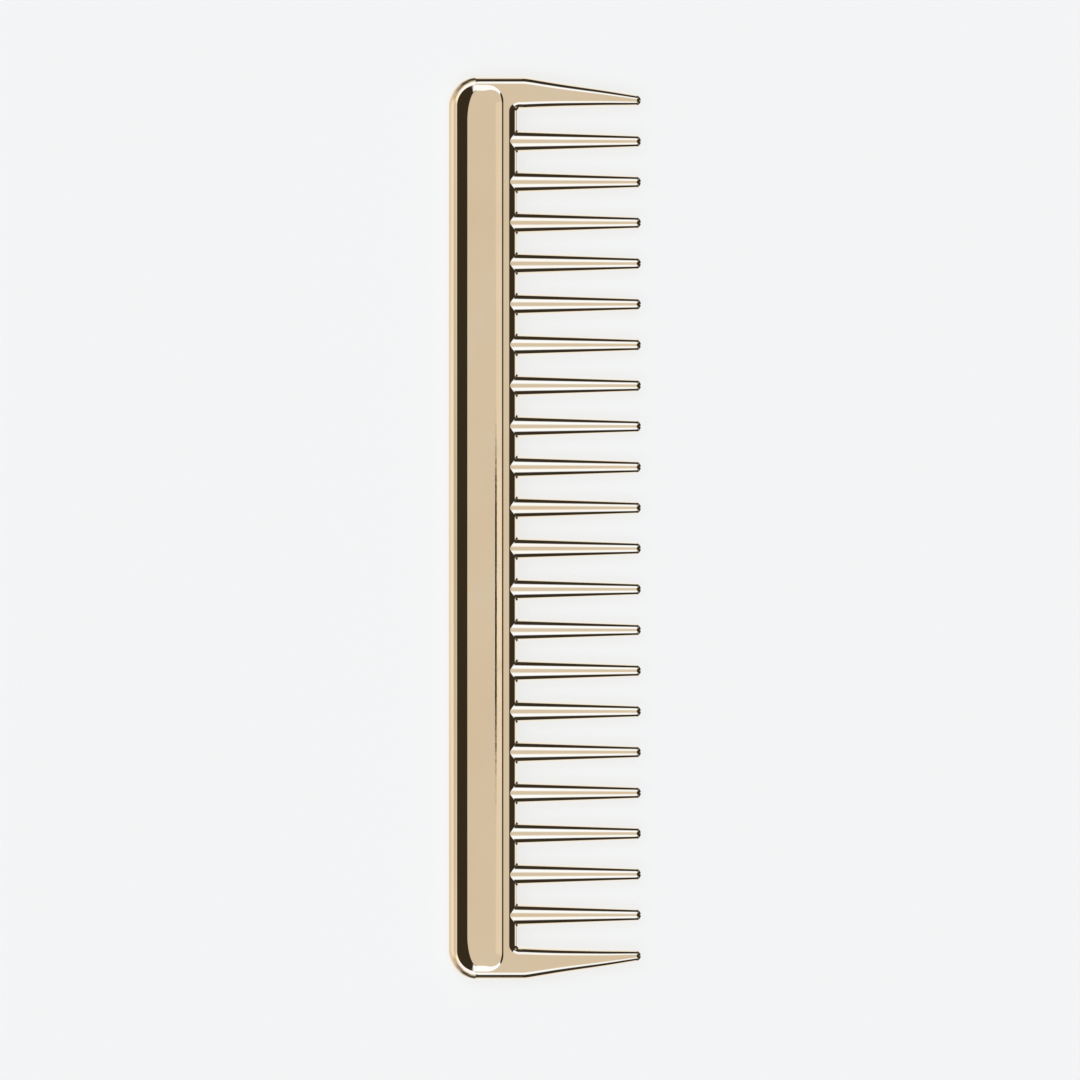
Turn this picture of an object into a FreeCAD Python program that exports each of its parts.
import FreeCAD, Part

import math
import os

os.makedirs("parts", exist_ok=True)

# A flat wide-tooth grooming comb, lying on its side: a spine with an end guard
# at each end, and twenty separate teeth held in it by hidden tangs.
# +Y runs along the spine, +X is the way the teeth point, +Z is one flat face.
# The origin is the centre of the whole comb. All lengths are in millimetres.

# ---- overall ---------------------------------------------------------------
HALF_LEN = 90.2  # centre to either end of the comb
X_TIP = 19.2  # ends of the teeth and guards
X_BACK = -X_TIP  # back edge of the spine

# ---- flat rim plate of the spine -------------------------------------------
PLATE_HALF = 1.70  # half thickness
EDGE_R = 1.60  # rounding of every long edge
CORNER_R = 5.80  # outer corners, seen along z
X_NOSE = -5.60  # tooth-side edge, rounded over by EDGE_R
INNER_CORNER_R = 0.45  # inside corner between spine and end guard
X_STUB = -4.20  # the plate ends here and the guard proper begins

# ---- end guards, in one piece with the spine -------------------------------
# x, inner edge y, outer edge y, half thickness, corner rounding
GUARD_STATIONS = [
    (X_STUB, 83.78, HALF_LEN, PLATE_HALF, EDGE_R),
    (-3.40, 83.82, 90.12, 1.69, 1.59),
    (-1.00, 83.94, 89.72, 1.65, 1.55),
    (3.00, 84.10, 89.04, 1.57, 1.46),
    (7.00, 84.22, 88.42, 1.46, 1.35),
    (11.00, 84.33, 87.82, 1.34, 1.23),
    (15.00, 84.44, 87.17, 1.19, 1.08),
    (X_TIP, 84.58, 86.50, 1.00, 0.90),
]
GUARD_INNER_Y = GUARD_STATIONS[0][1]  # inner edge of the guard at its root
GUARD_TIP_R = 0.88

# ---- raised bolster on each face -------------------------------------------
# Corners are (reach across x, reach along y); unequal reaches make an ellipse.
FOOT_X_BACK, FOOT_X_FRONT = -17.58, -8.30  # foot of the sloping wall
FOOT_HALF_LEN = 88.55
FOOT_BACK_CORNER = (4.18, 4.18)
FOOT_FRONT_CORNER = (3.30, 3.30)  # at the tooth side
FOOT_SINK = 0.5  # depth the foot goes into the rim
CREST_X_BACK, CREST_X_FRONT = -15.42, -8.80  # crest of the sloping wall
CREST_HALF_LEN = 87.35
CREST_BACK_CORNER = (1.75, 6.30)
CREST_FRONT_CORNER = (3.15, 3.15)
LAND_Z = 2.06  # height of the flat land over the middle plane
BEVEL_X = -10.10  # the land ends here and falls gently to the tooth side
BEVEL_Z = 1.91  # height of that fall at the crest line
BEVEL_OVERRUN = 3.0  # the bevel cutter goes this far past the crest line
BEVEL_HEADROOM = 2.0  # and this far above the land
SOFTEN_R = 0.30  # rounding between wall and land

# ---- teeth -----------------------------------------------------------------
TEETH = 20
PITCH = 8.143
X_ROOT = -7.10  # widest section, inside the spine's rounded edge
X_TIP_ROUND = 18.15  # the rounded tip begins here
ROOT_HALF_W, ROOT_HALF_T = 2.16, 1.66  # half width along the comb, half thickness
TIP_HALF_W, TIP_HALF_T = 1.14, 0.80
SHAFT_SPANS = 4  # lofted spans between root and tip
SADDLE_HALF_LEN = 8.0  # half length of the nose copy that shapes a tooth's seat

# ---- hidden fixing of each tooth -------------------------------------------
TANG_R = 1.00
X_TANG_END = -12.60
TANG_OVERLAP = 1.5  # the tang runs this far past the nose, into the tooth
BORE_R = TANG_R + 0.02
X_BORE_END = X_TANG_END - 0.10
BORE_OVERRUN = 0.5  # the bore cutter goes this far past the nose

ORIGIN = FreeCAD.Vector(0, 0, 0)
DIAGONAL = math.sqrt(0.5)


def vec(x, y, z):
    return FreeCAD.Vector(x, y, z)


def box(x0, x1, half_y, half_z):
    return Part.makeBox(x1 - x0, 2 * half_y, 2 * half_z, vec(x0, -half_y, -half_z))


def rod(x0, x1, y, radius):
    """Cylinder along x in the middle plane."""
    return Part.makeCylinder(radius, x1 - x0, vec(x0, y, 0), vec(1, 0, 0))


def one_solid(shape, name):
    if len(shape.Solids) != 1:
        raise RuntimeError("%s came out as %d solids" % (name, len(shape.Solids)))
    solid = shape.Solids[0]
    if not solid.isValid():
        raise RuntimeError("%s is not a valid solid" % name)
    return solid


# ---- outlines ---------------------------------------------------------------
def quarter_arc(start, end, centre):
    """Quarter of a circle, or of an ellipse where the two reaches differ."""
    start_reach = (start - centre).Length
    end_reach = (end - centre).Length
    if abs(start_reach - end_reach) < 1e-7:
        middle = centre + (start + end - centre * 2) * DIAGONAL
        return Part.Arc(start, middle, end).toShape()
    major, minor = (start, end) if start_reach > end_reach else (end, start)
    curve = Part.Ellipse(major, minor, centre)
    return Part.Arc(curve, 0.0, math.pi / 2).toShape()


def closed_wire(path, place):
    """Wire through rows of (flat point, centre of the arc to the next point).

    A centre of None gives a straight line. place turns a flat point into a vector.
    """
    edges = []
    for (start, centre), (end, _) in zip(path, path[1:] + path[:1]):
        if centre is None:
            edges.append(Part.LineSegment(place(*start), place(*end)).toShape())
        else:
            edges.append(quarter_arc(place(*start), place(*end), place(*centre)))
    return Part.Wire(edges)


def rounded_rect(low, high, half, low_corner, high_corner, place):
    """Rectangle from low to high in its first coordinate, -half to half in its second."""
    low_in, high_in = low + low_corner[0], high - high_corner[0]
    low_side, high_side = half - low_corner[1], half - high_corner[1]
    path = [
        ((low_in, -half), None),
        ((high_in, -half), (high_in, -high_side)),
        ((high, -high_side), None),
        ((high, high_side), (high_in, high_side)),
        ((high_in, half), None),
        ((low_in, half), (low_in, low_side)),
        ((low, low_side), None),
        ((low, -low_side), (low_in, -low_side)),
    ]
    return closed_wire(path, place)


# ---- flat rim plate with rounded edges and the roots of both guards ---------
def plate_outline():
    """Outline of the plate on its -Z face."""
    back_in = X_BACK + CORNER_R
    end_in = HALF_LEN - CORNER_R
    nose_in = X_NOSE + INNER_CORNER_R
    inner_in = GUARD_INNER_Y - INNER_CORNER_R
    path = [
        ((back_in, -HALF_LEN), None),
        ((X_STUB, -HALF_LEN), None),
        ((X_STUB, -GUARD_INNER_Y), None),
        ((nose_in, -GUARD_INNER_Y), (nose_in, -inner_in)),
        ((X_NOSE, -inner_in), None),
        ((X_NOSE, inner_in), (nose_in, inner_in)),
        ((nose_in, GUARD_INNER_Y), None),
        ((X_STUB, GUARD_INNER_Y), None),
        ((X_STUB, HALF_LEN), None),
        ((back_in, HALF_LEN), (back_in, end_in)),
        ((X_BACK, end_in), None),
        ((X_BACK, -end_in), (back_in, -end_in)),
    ]
    return closed_wire(path, lambda x, y: vec(x, y, -PLATE_HALF))


def make_plate():
    plate = Part.Face(plate_outline()).extrude(vec(0, 0, 2 * PLATE_HALF))
    # round both face outlines, but not the ends where the guards join on
    rim = []
    for edge in plate.Edges:
        bounds = edge.BoundBox
        on_face = bounds.ZLength < 1e-6 and abs(abs(bounds.ZMin) - PLATE_HALF) < 1e-6
        stub_end = bounds.XMin > X_STUB - 1e-6
        if on_face and not stub_end:
            rim.append(edge)
    return plate.makeFillet(EDGE_R, rim)


# ---- end guard at the +Y end ------------------------------------------------
def guard_section(x, inner_y, outer_y, half, radius):
    """Rounded rectangle standing across the x axis."""
    corner = (radius, radius)
    return rounded_rect(inner_y, outer_y, half, corner, corner, lambda y, z: vec(x, y, z))


def make_guard():
    loft = Part.makeLoft([guard_section(*row) for row in GUARD_STATIONS], True, False)
    tip_edges = [edge for edge in loft.Edges if edge.BoundBox.XMin > X_TIP - 0.01]
    return loft.makeFillet(GUARD_TIP_R, tip_edges)


# ---- raised bolster on the +Z face ------------------------------------------
def make_bevel_cutter():
    """Wedge over the gentle fall of the land toward the teeth."""
    slope = (LAND_Z - BEVEL_Z) / (CREST_X_FRONT - BEVEL_X)
    x_far = CREST_X_FRONT + BEVEL_OVERRUN
    z_far = LAND_Z - slope * (x_far - BEVEL_X)
    z_above = LAND_Z + BEVEL_HEADROOM
    corners = [
        (BEVEL_X, LAND_Z),
        (x_far, z_far),
        (x_far, z_above),
        (BEVEL_X, z_above),
        (BEVEL_X, LAND_Z),
    ]
    outline = Part.makePolygon([vec(x, -HALF_LEN, z) for x, z in corners])
    return Part.Face(outline).extrude(vec(0, 2 * HALF_LEN, 0))


def make_bolster():
    foot = rounded_rect(
        FOOT_X_BACK, FOOT_X_FRONT, FOOT_HALF_LEN, FOOT_BACK_CORNER, FOOT_FRONT_CORNER,
        lambda x, y: vec(x, y, PLATE_HALF),
    )
    crest = rounded_rect(
        CREST_X_BACK, CREST_X_FRONT, CREST_HALF_LEN, CREST_BACK_CORNER, CREST_FRONT_CORNER,
        lambda x, y: vec(x, y, LAND_Z),
    )
    body = Part.makeLoft([foot, crest], True, True)
    # the meeting of wall and land is slightly rounded all the way round
    land_edges = [edge for edge in body.Edges if edge.BoundBox.ZMin > LAND_Z - 1e-4]
    body = body.makeFillet(SOFTEN_R, land_edges)
    body = one_solid(body.cut(make_bevel_cutter()), "bolster")
    # the foot goes a little way into the rim so the two join without a gap
    root = Part.Face(foot).extrude(vec(0, 0, -FOOT_SINK))
    return body.fuse(root).removeSplitter()


# ---- spine: plate, guards and bolsters, bored for the tangs -----------------
def make_spine(tooth_ys):
    plate = make_plate()
    guard = make_guard()
    far_guard = guard.mirror(ORIGIN, vec(0, 1, 0))
    bolster = make_bolster()
    far_bolster = bolster.mirror(ORIGIN, vec(0, 0, 1))
    spine = plate.fuse([guard, far_guard, bolster, far_bolster]).removeSplitter()
    spine = one_solid(spine, "spine")
    bores = [rod(X_BORE_END, X_NOSE + BORE_OVERRUN, y, BORE_R) for y in tooth_ys]
    return one_solid(spine.cut(bores), "spine")


# ---- one tooth with its hidden tang, at y = 0 -------------------------------
def make_saddle():
    """The spine's rounded tooth-side edge, on which every tooth sits."""
    x_round = X_NOSE - EDGE_R
    z_round = PLATE_HALF - EDGE_R
    path = [
        ((x_round, -PLATE_HALF), (x_round, -z_round)),
        ((X_NOSE, -z_round), None),
        ((X_NOSE, z_round), (x_round, z_round)),
        ((x_round, PLATE_HALF), None),
    ]
    profile = closed_wire(path, lambda x, z: vec(x, -SADDLE_HALF_LEN, z))
    return Part.Face(profile).extrude(vec(0, 2 * SADDLE_HALF_LEN, 0))


def make_shaft():
    """Elliptical shaft, tapering evenly from root to tip."""
    sections = []
    for i in range(SHAFT_SPANS + 1):
        along = i / SHAFT_SPANS
        x = X_ROOT + (X_TIP_ROUND - X_ROOT) * along
        half_w = ROOT_HALF_W + (TIP_HALF_W - ROOT_HALF_W) * along
        half_t = ROOT_HALF_T + (TIP_HALF_T - ROOT_HALF_T) * along
        ellipse = Part.Ellipse(vec(x, half_w, 0), vec(x, 0, half_t), vec(x, 0, 0))
        sections.append(Part.Wire([ellipse.toShape()]))
    return Part.makeLoft(sections, True, False)


def make_tip():
    """Half of a unit ball, stretched to the tip section and its reach."""
    ball = Part.makeSphere(1.0, ORIGIN, vec(1, 0, 0), -90, 90, 360)
    half_ball = ball.common(box(0, 2, 2, 2))
    stretch = FreeCAD.Matrix()
    stretch.A11 = X_TIP - X_TIP_ROUND
    stretch.A22 = TIP_HALF_W
    stretch.A33 = TIP_HALF_T
    stretch.A14 = X_TIP_ROUND
    return half_ball.transformGeometry(stretch)


def make_tooth():
    keep = box(X_ROOT, X_TIP + 1, HALF_LEN, 5)
    body = make_shaft().fuse(make_tip()).common(keep).cut(make_saddle())
    tang = rod(X_TANG_END, X_NOSE + TANG_OVERLAP, 0, TANG_R)
    return one_solid(body.fuse(tang).removeSplitter(), "tooth")


def main():
    tooth_ys = [(i - (TEETH - 1) / 2.0) * PITCH for i in range(TEETH)]
    make_spine(tooth_ys).exportStep("parts/spine.step")
    tooth = make_tooth()
    for number, y in enumerate(tooth_ys, 1):
        piece = tooth.copy()
        piece.translate(vec(0, y, 0))
        piece.exportStep("parts/tooth_%02d.step" % number)


main()
